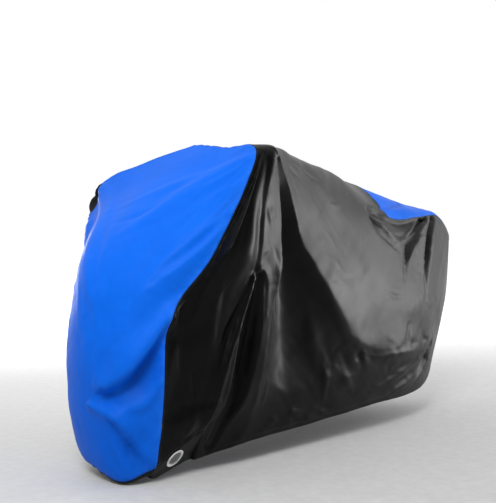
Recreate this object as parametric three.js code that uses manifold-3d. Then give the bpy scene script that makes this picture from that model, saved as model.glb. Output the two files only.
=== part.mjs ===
// A fitted motorcycle cover as it hangs on its machine: two blue panels over the front and
// the tail, two black side panels, a black hem strip round the lower front and two lock eyelets.
// Millimetres, +X towards the tail, +Y towards the right-hand side, +Z up.
import * as THREE from 'three';
import Module from 'manifold-3d';
import { mergeVertices } from 'three/addons/utils/BufferGeometryUtils.js';

// Driving dimensions
const CLOTH = 2.4;              // thickness of the coated cloth
const SEAM_GAP = 0.3;           // clear width of the seam between two panels
const EYELET_HOLE = 26;         // inner radius of an eyelet
const EYELET_BARREL = 2.2;      // wall of the barrel that passes through the cloth
const EYELET_RIM = 36;          // outer radius of its flange
const EYELET_FLANGE = 2.2;      // thickness of a flange
const EYELET_CLEAR = 0.35;      // play between an eyelet and the cloth
const EYELET_SIDES = 28;
const EYELET_AT = { left: { station: 0.48, level: 0.56 }, right: { station: 0.48, level: 0.5 } };
const PAD_REACH = 82;           // cloth this near to an eyelet's middle lies flat
const PAD_FADE = 130;           // and from here on it is free

// Rows of the surface between its named levels, from the hem up to the ridge
const LEVELS = ['hem', 'fold', 'low', 'mid', 'high', 'shoulder', 'crown', 'ridge'];
const ROWS_PER_LEVEL = [3, 2, 4, 5, 8, 4, 5];
const SHOULDER = 5;

// Columns of the surface between the stations of a side, from the front seam to the tail
const COLUMNS_PER_STATION = [8, 7, 7, 5, 3, 3, 4, 4, 2, 2];
const REAR_STATION = 6;         // the blue rear panel starts here, above the shoulder
const STRIP_STATION = 1;        // the hem strip ends here on each side

// Left side, a row for each station: x, distance out from the middle plane, height above the floor.
// crown is how far the cloth between shoulder and ridge stands above a straight line, left and right,
// and right holds how far points of the right-hand side lie from their mirrored places.
const SIDE = [
  { name: 'front seam', hem: [-868, 154, 16], fold: [-882, 205, 56], low: [-874, 230, 240],
    mid: [-864, 254, 548], high: [-738, 335, 765], shoulder: [-610, 402, 1089], ridge: [-498, 0, 1146],
    crown: [6, 14], right: { hem: [40, -24, 0], fold: [40, -24, 0], shoulder: [0, 0, -90] } },
  { name: 'mirror', hem: [-698, 188, 46], fold: [-705, 248, 166], low: [-705, 285, 270],
    mid: [-690, 324, 550], high: [-632, 384, 800], shoulder: [-548, 428, 1098], ridge: [-420, 0, 1134],
    crown: [2, 10], right: { shoulder: [0, 0, -90] } },
  { name: 'fairing', hem: [-480, 240, 79], fold: [-480, 262, 172], low: [-480, 294, 285],
    mid: [-470, 334, 560], high: [-486, 386, 830], shoulder: [-502, 408, 1100], ridge: [-290, 0, 1118],
    crown: [-4, 2], right: { shoulder: [0, 0, -70] } },
  { name: 'tank front', hem: [-220, 256, 89], fold: [-220, 272, 184], low: [-215, 299, 298],
    mid: [-220, 331, 560], high: [-300, 352, 832], shoulder: [-410, 370, 1096], ridge: [-110, 0, 1100],
    crown: [-2, -2], right: { shoulder: [0, 0, -56] } },
  { name: 'tank', hem: [50, 262, 102], fold: [52, 274, 194], low: [55, 298, 305],
    mid: [40, 322, 556], high: [-40, 320, 815], shoulder: [-190, 290, 1069], ridge: [60, 0, 1080],
    crown: [2, 2], right: { shoulder: [0, 0, -30] } },
  { name: 'seat', hem: [300, 262, 114], fold: [303, 272, 204], low: [310, 292, 312],
    mid: [312, 303, 550], high: [270, 282, 795], shoulder: [130, 196, 1035], ridge: [230, 0, 1062],
    crown: [8, 8], right: { shoulder: [0, 0, -8] } },
  { name: 'rear panel', hem: [520, 252, 114], fold: [530, 260, 210], low: [540, 275, 318],
    mid: [560, 277, 545], high: [560, 240, 765], shoulder: [500, 187, 885], ridge: [400, 0, 1045],
    crown: [38, 38], right: {} },
  { name: 'tail side', hem: [715, 224, 128], fold: [730, 232, 228], low: [745, 242, 330],
    mid: [780, 240, 550], high: [800, 208, 770], shoulder: [780, 170, 888], ridge: [760, 0, 976],
    crown: [10, 10], right: {} },
  { name: 'tail front corner', hem: [868, 167, 166], fold: [897, 175, 256], low: [930, 178, 350],
    mid: [1006, 170, 552], high: [1050, 142, 775], shoulder: [1020, 118, 893], ridge: [1010, 0, 930],
    crown: [10, 10], right: {} },
  { name: 'tail rear corner', hem: [955, 100, 200], fold: [985, 114, 286], low: [1015, 120, 370],
    mid: [1096, 116, 556], high: [1162, 96, 750], shoulder: [1178, 80, 812], ridge: [1115, 0, 922],
    crown: [10, 10], right: {} },
  { name: 'tail middle', hem: [985, 0, 220], fold: [1016, 0, 302], low: [1048, 0, 380],
    mid: [1130, 0, 558], high: [1196, 0, 740], shoulder: [1205, 0, 800], ridge: [1155, 0, 908],
    crown: [8, 8], right: {} },
];

// Front, a row for each station between the two front seams, in the same columns
const NOSE = [
  { name: 'left quarter', hem: [-905, 78, 24], fold: [-962, 130, 15], low: [-985, 140, 205],
    mid: [-975, 150, 525], high: [-862, 195, 775] },
  { name: 'middle', hem: [-900, 0, 62], fold: [-968, 0, 40], low: [-1012, 0, 235],
    mid: [-1010, 0, 520], high: [-925, 0, 775] },
  { name: 'right quarter', hem: [-872, -66, 78], fold: [-925, -122, 54], low: [-964, -146, 252],
    mid: [-955, -150, 530], high: [-846, -190, 782] },
];

// Main folds, a row for each: the panel it runs on, its path as stations and levels from its head to
// its tail, its width on either hand and how far it stands out, or in where that is negative. On the
// front, stations run from the left seam, 0, to the right seam, 4. Where a row differs from FOLD_USUAL,
// it also has the shares of width and rise that are left at its head and tail, its section, the place
// along its path where it is fullest and, if it opens like a fan, the width's shares at its head, middle
// and tail.
const FOLD_USUAL = { head: 1, tail: 0.2, form: 'soft', full: 0.5, opens: null };
const FOLDS = [
  // Pleats that fall from the left mirror
  { on: 'left',
    path: [[0.3, 4.88], [0.33, 4.6], [0.36, 4.34], [0.37, 4.1], [0.36, 3.9], [0.38, 3.6], [0.42, 3.2]],
    wide: [26, 200], rise: 40, head: 0.15, full: 0.6 },
  { on: 'left', path: [[0.48, 4.8], [0.66, 4.4], [0.88, 4.05], [0.98, 3.6], [1.02, 3]],
    wide: [40, 50], rise: 4, head: 0.4, tail: 0.3 },
  { on: 'left', path: [[0.6, 4.86], [0.8, 4.55], [1.15, 4.26], [1.34, 4], [1.42, 3.75], [1.5, 3.5]],
    wide: [50, 32], rise: -11, head: 0.3, tail: 0.8, opens: [0.9, 1, 1] },
  { on: 'left',
    path: [[1.7, 4.86], [2.15, 4.56], [2.37, 4.22], [2.43, 3.86], [2.52, 3.5], [2.56, 3.1],
      [2.64, 2.65], [2.76, 2.1], [2.85, 1.4], [2.95, 0.4]],
    wide: [110, 190], rise: -72, head: 0.15, tail: 0.1, form: 'bent', full: 0.66, opens: [0.1, 0.4, 2.5] },
  { on: 'left', path: [[1.78, 4.84], [2.24, 4.59], [2.71, 4.16], [3, 3.75], [3.46, 3.18], [4.2, 2.3]],
    wide: [80, 260], rise: 18, head: 0.3, tail: 0.4, full: 0.7 },
  // The arch-shaped pocket, its lip and the hollows by the front seam
  { on: 'left', path: [[1.66, 3.42], [1.68, 3.05], [1.67, 2.6], [1.58, 2], [1.4, 1.1], [1.25, 0.3]],
    wide: [54, 60], rise: -38, head: 0.5, tail: 0.25, form: 'flat', full: 0.4 },
  { on: 'left', path: [[1.5, 3.46], [1.34, 2.85], [1.17, 2.42], [1.05, 1.9], [0.98, 1.4], [0.95, 0.9]],
    wide: [50, 36], rise: 20, head: 0.4, tail: 0.3 },
  { on: 'left', path: [[0.02, 3.1], [0.06, 2.8], [0.04, 2.4], [0.02, 2.1]],
    wide: [50, 55], rise: 16, head: 0.4 },
  { on: 'left', path: [[0.1, 1.75], [0.45, 1.72], [0.85, 1.72], [1.05, 1.85]],
    wide: [80, 45], rise: 12, head: 0.6, tail: 0.6 },
  { on: 'left', path: [[3.05, 2.9], [3.2, 2.5], [3.4, 1.9]], wide: [50, 50], rise: 4, head: 0.1 },
  // The tail's pocket, pleats and lower edge
  { on: 'left', path: [[5.66, 4.86], [5.3, 4.5], [5.2, 4.2], [5.5, 3.9]],
    wide: [22, 110], rise: -26, head: 0.8, tail: 0.3 },
  { on: 'left', path: [[5.75, 4.8], [6.2, 4.84], [6.7, 4.87], [7.1, 4.9]],
    wide: [50, 20], rise: -12, head: 0.6, tail: 0.4 },
  { on: 'left', path: [[7.05, 4.9], [6.5, 4.42], [6.08, 4.02], [5.8, 3.6], [5.65, 3.2]],
    wide: [20, 60], rise: -30, head: 0.7, tail: 0.1, full: 0.35 },
  { on: 'left', path: [[7.55, 4.92], [7.1, 4.32], [6.85, 3.85], [6.65, 3.4], [6.6, 2.9]],
    wide: [20, 60], rise: -32, head: 0.7, tail: 0.1, full: 0.4 },
  { on: 'left', path: [[5.95, 5.3], [6.4, 5.55], [6.8, 5.9], [6.95, 6.6], [6.9, 7]],
    wide: [40, 18], rise: -14, head: 0.5, tail: 0.6 },
  { on: 'left', path: [[4.2, 2.4], [5, 2.14], [5.7, 2], [6.7, 1.8]],
    wide: [70, 150], rise: 10, head: 0.4, tail: 0.6 },
  { on: 'left', path: [[7.2, 1.85], [6.83, 1.2], [6.3, 0.5]], wide: [45, 45], rise: -16, head: 0.5 },
  // The front's overhang, its crumpled pocket and the rays from the mirrors
  { on: 'front', path: [[0, 3.06], [0.36, 2.8], [0.8, 2.56], [1.3, 2.4]],
    wide: [110, 34], rise: 28, head: 0.7, tail: 0.5 },
  { on: 'front', path: [[0, 2.8], [0.4, 2.54], [0.8, 2.38], [1.36, 2.26]],
    wide: [36, 80], rise: -22, head: 0.7, tail: 0.5 },
  { on: 'front', path: [[1.75, 2.14], [1.14, 2.1], [0.8, 1.94], [0.1, 1.2]],
    wide: [60, 40], rise: 24, head: 0.5, tail: 0.4, form: 'tent' },
  { on: 'front', path: [[1.15, 1.95], [0.75, 1.66], [0.35, 1.25]],
    wide: [40, 80], rise: -30, head: 0.6, tail: 0.4, form: 'tent' },
  { on: 'front', path: [[0.2, 4.84], [0.96, 4.64], [1.5, 4.32], [1.9, 4.12]],
    wide: [70, 60], rise: 12, head: 0.4 },
  { on: 'front', path: [[0.06, 4.7], [0.46, 4.24], [0.74, 3.72], [1.02, 3.2]],
    wide: [70, 60], rise: 12, head: 0.4 },
  { on: 'front', path: [[0.05, 4.4], [0.32, 3.84], [0.74, 3.2], [1.32, 2.8]],
    wide: [60, 60], rise: 10, head: 0.4 },
  { on: 'front', path: [[3.95, 4.86], [3.3, 4.42], [2.75, 4.05], [2.4, 3.5], [2.25, 3]],
    wide: [45, 110], rise: 12, head: 0.6 },
  { on: 'front', path: [[3.85, 4.8], [2.7, 4.2], [2, 3.6], [1.6, 3]], wide: [60, 60], rise: 10, head: 0.8 },
  { on: 'front', path: [[3.3, 3.75], [3.35, 3.4], [3.4, 3]],
    wide: [80, 80], rise: -22, head: 0.6, tail: 0.6 },
  { on: 'front', path: [[3.4, 1.8], [3.5, 1.4], [3.5, 1]],
    wide: [80, 80], rise: -12, head: 0.6, tail: 0.4 },
  // The right-hand side
  { on: 'right', path: [[0, 4.96], [0, 4.8], [0, 4.66], [0, 4.52]],
    wide: [14, 70], rise: -36, head: 0.5, tail: 0.1 },
  { on: 'right', path: [[0.4, 4.86], [0.3, 4.7], [0.2, 4.54], [0.1, 4.42]],
    wide: [60, 18], rise: 22, head: 0.3, tail: 0.4 },
  { on: 'right', path: [[0, 4.5], [0, 4.3], [0, 4.1]], wide: [75, 75], rise: 18, head: 0.3, tail: 0.6 },
  { on: 'right', path: [[0, 2.4], [0, 1.8], [0, 1.2]], wide: [85, 85], rise: -30, head: 0.3, tail: 0.3 },
  { on: 'right', path: [[0.5, 4.8], [0.55, 4.2], [0.65, 3.5], [0.7, 2.6]],
    wide: [60, 70], rise: -20, head: 0.3 },
  { on: 'right', path: [[0.8, 4.85], [1.3, 4.2], [1.6, 3.3], [1.6, 2.2], [1.5, 1.2]],
    wide: [75, 85], rise: 24, head: 0.3 },
  { on: 'right', path: [[1.4, 4.8], [2.2, 4.2], [2.6, 3.4], [2.7, 2.4]],
    wide: [240, 40], rise: -34, head: 0.2 },
  { on: 'right', path: [[1.9, 4.8], [2.8, 4.1], [3.4, 3.2], [3.9, 2.4]],
    wide: [170, 80], rise: 18, head: 0.3 },
  { on: 'right', path: [[2.3, 2.4], [2.5, 1.8], [2.6, 1]], wide: [60, 60], rise: 14, head: 0.6 },
  { on: 'right', path: [[5.4, 4.7], [5.3, 4.1], [5.6, 3.6]], wide: [80, 24], rise: -16, head: 0.6 },
  { on: 'right', path: [[7.3, 4.9], [6.9, 4.1], [6.7, 3]], wide: [80, 26], rise: -16, head: 0.3 },
  { on: 'right', path: [[7.7, 4.9], [7.4, 3.9], [7.2, 3]], wide: [70, 24], rise: -13, head: 0.3 },
];
const FOLD_STEPS = 48;          // pieces of a fold's path
const FAN_MIDDLE = 0.4;         // place along the path where a fan's middle share holds
// How much a fold's rise varies along its path, how often, and how that differs from fold to fold
const UNEVEN = { share: 0.15, turns: 5, shift: 2.4 };

// Height of a fold's section from its middle, 0, to its edge, 1
const halfWave = (near) => 0.5 * (1 + Math.cos(Math.PI * near));
const BEND = 0.3;               // share of the width that is rounded in the middle of a bent fold
const SECTIONS = {
  soft: halfWave,
  tent: (near) => 1 - near,
  bent: (near) => 1 - (Math.hypot(near, BEND) - BEND) / (Math.hypot(1, BEND) - BEND),
  flat: (near) => halfWave(THREE.MathUtils.clamp(near * 2 - 1, 0, 1)),
};

const BLUE = { color: 0x1c72f0, roughness: 0.5, metalness: 0 };
const BLACK = { color: 0x1b1c1d, roughness: 0.45, metalness: 0 };
const PALE = { color: 0xe4e4e4, roughness: 0.3, metalness: 0.1 };

const wasm = await Module();
wasm.setup();

// Curve through a row of points with even steps; t counts the points
function through(points, t) {
  const last = points.length - 1;
  const i = Math.min(Math.floor(t), last - 1);
  const f = t - i;
  const before = points[i - 1] ?? points[i].clone().multiplyScalar(2).sub(points[i + 1]);
  const after = points[i + 2] ?? points[i + 1].clone().multiplyScalar(2).sub(points[i]);
  const out = new THREE.Vector3();
  for (const axis of ['x', 'y', 'z']) {
    const [a, b, c, d] = [before, points[i], points[i + 1], after].map((p) => p[axis]);
    out[axis] = b + 0.5 * f * (c - a + f * (2 * a - 5 * b + 4 * c - d + f * (3 * (b - c) + d - a)));
  }
  return out;
}

// Steps along a table: the whole numbers split into so many parts each
function steps(parts) {
  const list = parts.flatMap((n, i) => Array.from({ length: n }, (_, k) => i + k / n));
  return [...list, parts.length];
}

const ROW_LEVELS = steps(ROWS_PER_LEVEL);
const SHOULDER_ROW = ROW_LEVELS.indexOf(SHOULDER);
const STRIP_ROW = ROW_LEVELS.indexOf(1);
const COLUMN_STATIONS = steps(COLUMNS_PER_STATION);

function sidePoint(row, level, sign) {
  if (level !== 'crown') {
    const [x, out, z] = row[level];
    const shift = (sign > 0 && row.right[level]) || [0, 0, 0];
    return new THREE.Vector3(x, sign * out, z).add(new THREE.Vector3(...shift));
  }
  const middle = sidePoint(row, 'shoulder', sign).add(sidePoint(row, 'ridge', sign)).multiplyScalar(0.5);
  return middle.add(new THREE.Vector3(0, 0, row.crown[sign < 0 ? 0 : 1]));
}

// Point of a side panel's smooth form
function onSide(sign, station, level) {
  const beyond = SIDE[SIDE.length - 2];
  const across = LEVELS.map((name) => {
    const along = SIDE.map((row) => sidePoint(row, name, sign));
    return through([...along, sidePoint(beyond, name, -sign)], station);
  });
  return through(across, level);
}

// Top edge of the front panel; span runs from the left mirror, 0, over the ridge, 2, to the right one, 4
function topEdge(span) {
  const sign = span < 2 ? -1 : 1;
  return onSide(sign, 0, SHOULDER + (span < 2 ? span : 4 - span));
}

// Point of the front panel's smooth form, which meets both seams and the top edge
function onFront(span, level) {
  const curve = (height) => {
    const inner = NOSE.map((row, k) => {
      const below = LEVELS.slice(0, SHOULDER).map((name) => {
        const [x, left, z] = row[name];
        return new THREE.Vector3(x, -left, z);
      });
      return through([...below, topEdge(k + 1)], height);
    });
    return through([onSide(-1, 0, height), ...inner, onSide(1, 0, height)], span);
  };
  const join = THREE.MathUtils.smoothstep(level, SHOULDER - 1, SHOULDER);
  return curve(level).addScaledVector(topEdge(span).sub(curve(SHOULDER)), join);
}

const onCover = {
  left: (station, level) => onSide(-1, station, level),
  right: (station, level) => onSide(1, station, level),
  front: onFront,
};

// All points of the cover's middle surface, each stored once, and the grids that count them
const points = [];
const store = (at) => points.push(at) - 1;
const RIDGE_ROW = ROW_LEVELS.length - 1;
const TAIL_COLUMN = COLUMN_STATIONS.length - 1;
const left = COLUMN_STATIONS.map((station) => ROW_LEVELS.map((level) => store(onSide(-1, station, level))));
const right = COLUMN_STATIONS.map((station, i) => ROW_LEVELS.map((level, j) => {
  const shared = j === RIDGE_ROW || i === TAIL_COLUMN;
  return shared ? left[i][j] : store(onSide(1, station, level));
}));
const FRONT_HALF = RIDGE_ROW - SHOULDER_ROW;
const front = Array.from({ length: 2 * FRONT_HALF + 1 }, (_, k) => {
  const climb = Math.min(k, 2 * FRONT_HALF - k);
  const seam = k <= FRONT_HALF ? left[0] : right[0];
  const rise = ROW_LEVELS[SHOULDER_ROW + climb] - SHOULDER;
  const span = k <= FRONT_HALF ? rise : 4 - rise;
  return ROW_LEVELS.slice(0, SHOULDER_ROW + 1).map((level, j) => {
    if (climb === 0) return seam[j];
    return j === SHOULDER_ROW ? seam[SHOULDER_ROW + climb] : store(onFront(span, level));
  });
});

// Four-sided cells of a grid, facing out, that pass a test on their column and row
function cells(grid, flip, keep) {
  const list = [];
  for (let i = 0; i + 1 < grid.length; i += 1) {
    for (let j = 0; j + 1 < grid[i].length; j += 1) {
      if (!keep(i, j)) continue;
      const cell = [grid[i][j], grid[i + 1][j], grid[i + 1][j + 1], grid[i][j + 1]];
      list.push(flip ? cell.reverse() : cell);
    }
  }
  return list;
}

const stripColumn = COLUMN_STATIONS.indexOf(STRIP_STATION);
const rearColumn = COLUMN_STATIONS.indexOf(REAR_STATION);
const inRear = (i, j) => i >= rearColumn && j >= SHOULDER_ROW;
const inStrip = (i, j) => i < stripColumn && j < STRIP_ROW;
const inSide = (i, j) => !inRear(i, j) && !inStrip(i, j);
const CUT = {
  front_panel: cells(front, true, (i, j) => j >= STRIP_ROW),
  side_panel_left: cells(left, false, inSide),
  side_panel_right: cells(right, true, inSide),
  rear_panel: [...cells(left, false, inRear), ...cells(right, true, inRear)],
  front_hem_strip: [
    ...cells(front, true, (i, j) => j < STRIP_ROW),
    ...cells(left, false, inStrip),
    ...cells(right, true, inStrip),
  ],
};
const allCells = Object.values(CUT).flat();

// Outward direction of the surface at every point
function surfaceNormals() {
  const normals = points.map(() => new THREE.Vector3());
  for (const [a, b, c, d] of allCells) {
    const across = points[c].clone().sub(points[a]);
    const normal = across.cross(points[d].clone().sub(points[b]));
    for (const corner of new Set([a, b, c, d])) normals[corner].add(normal);
  }
  return normals.map((normal) => normal.normalize());
}

// Points along a fold's path
function foldLine({ on, path }) {
  const stops = path.map(([station, level]) => new THREE.Vector3(station, level, 0));
  return Array.from({ length: FOLD_STEPS + 1 }, (_, k) => {
    const at = through(stops, (k / FOLD_STEPS) * (stops.length - 1));
    return onCover[on](Math.max(at.x, 0), at.y);
  });
}

// Share of the width at a place along a fold that opens like a fan
function fanWidth([head, middle, tail], gone) {
  if (gone < FAN_MIDDLE) return THREE.MathUtils.lerp(head, middle, gone / FAN_MIDDLE);
  return THREE.MathUtils.lerp(middle, tail, (gone - FAN_MIDDLE) / (1 - FAN_MIDDLE));
}

// Shares of a fold's rise and width at a place along its path, from its head, 0, to its tail, 1
function foldShares({ head, tail, full, opens }, gone) {
  const rising = gone < full;
  const ease = THREE.MathUtils.smoothstep(rising ? gone / full : (1 - gone) / (1 - full), 0, 1);
  const rise = THREE.MathUtils.lerp(rising ? head : tail, 1, ease);
  if (opens) return { rise, width: fanWidth(opens, gone) };
  return { rise, width: rising ? rise : Math.sqrt(rise) };
}

// How far a fold pushes a point along its outward direction
function foldPush(fold, line, point, out) {
  let best = 0;
  line.forEach((at, k) => {
    if (at.distanceToSquared(point) < line[best].distanceToSquared(point)) best = k;
  });
  const [before, after] = [Math.max(best - 1, 0), Math.min(best + 1, FOLD_STEPS)];
  const ahead = line[after].clone().sub(line[before]);
  const step = ahead.length() / (after - before);
  ahead.normalize();
  const aside = point.clone().sub(line[best]);
  let past = aside.dot(ahead);
  if (best === 0) past = Math.max(past, 0);
  if (best === FOLD_STEPS) past = Math.min(past, 0);
  const gone = THREE.MathUtils.clamp((best + past / step) / FOLD_STEPS, 0, 1);
  const share = foldShares(fold, gone);
  const reach = fold.wide[aside.dot(out.clone().cross(ahead)) < 0 ? 0 : 1] * share.width;
  const near = Math.min(aside.addScaledVector(ahead, -past).length() / reach, 1);
  const uneven = 1 + UNEVEN.share * Math.sin(UNEVEN.turns * gone + UNEVEN.shift * fold.number);
  return fold.rise * share.rise * uneven * SECTIONS[fold.form](near);
}

// Folds push the surface out or in along its own direction
function addFolds() {
  const out = surfaceNormals();
  const pushes = points.map(() => 0);
  FOLDS.forEach((row, number) => {
    const fold = { ...FOLD_USUAL, ...row, number };
    const line = foldLine(fold);
    points.forEach((point, index) => {
      pushes[index] += foldPush(fold, line, point, out[index]);
    });
  });
  points.forEach((point, index) => point.addScaledVector(out[index], pushes[index]));
}
addFolds();

// Cloth round an eyelet lies flat on one plane
const eyelets = Object.entries(EYELET_AT).map(([side, { station, level }]) => {
  const sign = side === 'left' ? -1 : 1;
  const at = onSide(sign, station, level);
  const along = onSide(sign, station + 0.2, level).sub(at);
  const up = onSide(sign, station, 1).sub(onSide(sign, station, 0));
  const normal = along.cross(up).multiplyScalar(-sign).normalize();
  return { name: `eyelet_${side}`, at, normal };
});
function flattenPads() {
  eyelets.forEach(({ at, normal }, side) => {
    for (const column of [left, right][side].slice(0, stripColumn + 1)) {
      for (const index of column.slice(0, STRIP_ROW + 1)) {
        const away = points[index].clone().sub(at);
        const flat = 1 - THREE.MathUtils.smoothstep(away.length(), PAD_REACH, PAD_FADE);
        points[index].addScaledVector(normal, -flat * away.dot(normal));
      }
    }
  });
}
flattenPads();
const normals = surfaceNormals();

// Closed sheet of one panel: both faces and a wall round its free edges, drawn in at the seams
function panelGeometry(list) {
  const edges = new Map();
  for (const cell of list) {
    cell.forEach((from, k) => {
      const to = cell[(k + 1) % 4];
      if (from === to) return;
      if (!edges.delete(`${to} ${from}`)) edges.set(`${from} ${to}`, [from, to]);
    });
  }
  const inward = new Map();
  for (const [from, to] of edges.values()) {
    const along = points[to].clone().sub(points[from]).normalize();
    for (const end of [from, to]) {
      const side = normals[end].clone().cross(along).normalize();
      inward.set(end, (inward.get(end) ?? new THREE.Vector3()).add(side));
    }
  }
  const used = [...new Set(list.flat())];
  const place = new Map(used.map((index, k) => [index, k]));
  const positions = [];
  for (const lift of [CLOTH / 2, -CLOTH / 2]) {
    for (const index of used) {
      const at = points[index].clone().addScaledVector(normals[index], lift);
      const side = inward.get(index);
      if (side) at.addScaledVector(side, SEAM_GAP / side.lengthSq());
      positions.push(...at.toArray());
    }
  }
  const faces = [];
  const triangle = (a, b, c) => {
    if (a !== b && b !== c && c !== a) faces.push(a, b, c);
  };
  const under = used.length;
  for (const [a, b, c, d] of list.map((cell) => cell.map((index) => place.get(index)))) {
    triangle(a, b, c);
    triangle(a, c, d);
    triangle(under + c, under + b, under + a);
    triangle(under + d, under + c, under + a);
  }
  for (const [from, to] of edges.values()) {
    const [a, b] = [place.get(from), place.get(to)];
    triangle(b, a, under + a);
    triangle(b, under + a, under + b);
  }
  const geometry = new THREE.BufferGeometry();
  geometry.setAttribute('position', new THREE.Float32BufferAttribute(positions, 3));
  geometry.setIndex(faces);
  return geometry;
}

// Joins and cuts on closed meshes
function solidOf(geometry) {
  const bare = geometry.clone();
  bare.deleteAttribute('normal');
  bare.deleteAttribute('uv');
  const merged = mergeVertices(bare, 1e-4);
  return new wasm.Manifold(new wasm.Mesh({
    numProp: 3,
    vertProperties: new Float32Array(merged.attributes.position.array),
    triVerts: new Uint32Array(merged.index.array),
  }));
}
function geometryOf(solid) {
  const { vertProperties, triVerts } = solid.getMesh();
  const geometry = new THREE.BufferGeometry();
  geometry.setAttribute('position', new THREE.Float32BufferAttribute(vertProperties, 3));
  geometry.setIndex([...triVerts]);
  return geometry;
}

const UP = new THREE.Vector3(0, 1, 0);
const turnOf = (normal) => new THREE.Quaternion().setFromUnitVectors(UP, normal);

// The hem strip with a round hole for each eyelet
function stripGeometry() {
  let strip = solidOf(panelGeometry(CUT.front_hem_strip));
  const hole = EYELET_HOLE + EYELET_BARREL + EYELET_CLEAR;
  for (const { at, normal } of eyelets) {
    const drill = new THREE.CylinderGeometry(hole, hole, 20 * CLOTH, EYELET_SIDES);
    drill.applyQuaternion(turnOf(normal)).translate(at.x, at.y, at.z);
    strip = strip.subtract(solidOf(drill));
  }
  return geometryOf(strip);
}

// One eyelet: a barrel through the cloth with a rounded flange on each face
function eyeletGeometry() {
  const seat = CLOTH / 2 + EYELET_CLEAR;
  const face = seat + EYELET_FLANGE;
  const barrel = EYELET_HOLE + EYELET_BARREL;
  const half = [[barrel, seat], [EYELET_RIM, seat], [EYELET_RIM, seat + EYELET_FLANGE * 0.4],
    [EYELET_RIM - 2, face], [EYELET_HOLE + 2, face], [EYELET_HOLE, seat + EYELET_FLANGE * 0.4]];
  const under = half.map(([radius, height]) => [radius, -height]).reverse();
  const profile = [...half, ...under, half[0]].map(([radius, height]) => new THREE.Vector2(radius, height));
  return new THREE.LatheGeometry(profile, EYELET_SIDES);
}

const cover = new THREE.Group();
function addPiece(name, geometry, look) {
  geometry.computeVertexNormals();
  const mesh = new THREE.Mesh(geometry, new THREE.MeshStandardMaterial(look));
  mesh.name = name;
  cover.add(mesh);
  return mesh;
}

addPiece('front_panel', panelGeometry(CUT.front_panel), BLUE);
addPiece('side_panel_left', panelGeometry(CUT.side_panel_left), BLACK);
addPiece('side_panel_right', panelGeometry(CUT.side_panel_right), BLACK);
addPiece('rear_panel', panelGeometry(CUT.rear_panel), BLUE);
addPiece('front_hem_strip', stripGeometry(), BLACK);
for (const { name, at, normal } of eyelets) {
  const ring = addPiece(name, eyeletGeometry(), PALE);
  ring.position.copy(at);
  ring.quaternion.copy(turnOf(normal));
}

// The origin is the point under the ridge at the tank, where the cover is carried
const tank = SIDE.find((row) => row.name === 'tank');
cover.position.set(-tank.ridge[0], 0, -(tank.ridge[2] - CLOTH / 2));

export default cover;
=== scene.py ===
import math

import bpy
import numpy as np
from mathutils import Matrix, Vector
from mathutils.bvhtree import BVHTree
from mathutils.kdtree import KDTree


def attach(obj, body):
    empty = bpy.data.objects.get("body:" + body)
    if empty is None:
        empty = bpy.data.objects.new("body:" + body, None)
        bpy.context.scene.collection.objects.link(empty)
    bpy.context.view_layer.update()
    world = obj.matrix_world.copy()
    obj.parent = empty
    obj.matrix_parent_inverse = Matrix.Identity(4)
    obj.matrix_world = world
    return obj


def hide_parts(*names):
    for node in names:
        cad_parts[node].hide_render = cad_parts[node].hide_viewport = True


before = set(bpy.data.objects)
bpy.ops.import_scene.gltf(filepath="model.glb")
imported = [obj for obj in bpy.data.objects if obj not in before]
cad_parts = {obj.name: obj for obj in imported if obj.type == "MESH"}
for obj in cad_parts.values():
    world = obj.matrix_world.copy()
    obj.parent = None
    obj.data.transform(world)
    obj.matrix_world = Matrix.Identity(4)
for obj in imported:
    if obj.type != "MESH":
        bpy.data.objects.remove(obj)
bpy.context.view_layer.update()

# A fitted motorcycle cover as it hangs on its machine. Lengths are in millimetres, with the floor at
# height 0, +X towards the tail and +Y towards the right-hand side, until a mesh is made.
MM = 0.001
RIDGE_POINT = np.array([60.0, 0.0, 1078.8])  # the frame's origin, under the ridge over the tank

# Cloth, hems, seams and stitches
CLOTH = 1.1             # one layer of the coated cloth
HEM_WIDTH = 20.0        # turned-up edge round the bottom
HEM_FADE = 1.3          # where the hem has thinned out, as a share of its width
HEM_LAYERS = 2.6        # thickness of the hem, in layers
LAP_WIDTH = 9.0         # turned-in cloth beside a seam
LAP_FADE = (0.7, 1.3)   # where the lap starts to thin out and has done so, as shares of its width
LAP_LAYERS = 1.9
SEAM_GAP = 0.25         # how far a panel stops short of its seam
STITCH_INSET = 5.0      # from a seam to its row of stitches
HEM_STITCH_INSET = 18.0  # and from the hem's lower edge to its row
STITCH_PITCH = 6.5
STITCH_LENGTH = 4.6
STITCH_RADIUS = 0.45
STITCH_FLAT = 1.3       # a stitch's width as a share of its height
STITCH_SIDES = 6
PUCKER_REACH = 24.0     # cloth this near to a seam is drawn up by its stitches
PUCKER_RISE = 1.1
PUCKER_TURNS = (0.11, 0.07, 0.13)  # angle that a millimetre along x, y and z adds to the puckers' wave
PUCKER_SWAY = (1.3, 0.37)  # how far and how fast that angle sways, so that no two are alike
WEAR_REACH = 14.0       # how far the rubbing at an edge reaches into the cloth
FOLD_SHADING_RISE = 40.0       # height from the deepest hollow to the highest crest that the painted shade and painted highlight tell apart
NO_HEM = 1e3            # distance to the hem on a panel that has none

# Eyelets
EYELET_HOLE = 26.0
EYELET_RIM = 36.0
EYELET_BARREL = 2.2
EYELET_FLANGE = 2.2
EYELET_SIDES = 72
EYELET_ROLL = (13, 0.6)  # points over a flange, and its bulge: 1 is a half oval, less is fuller
EYELET_AT = {-1: (0.48, 0.56), 1: (0.48, 0.5)}  # station and level on the left and on the right
PAD_REACH = 82.0        # cloth this near to an eyelet's middle lies flat
PAD_FADE = 130.0        # and from here on it is free

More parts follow.
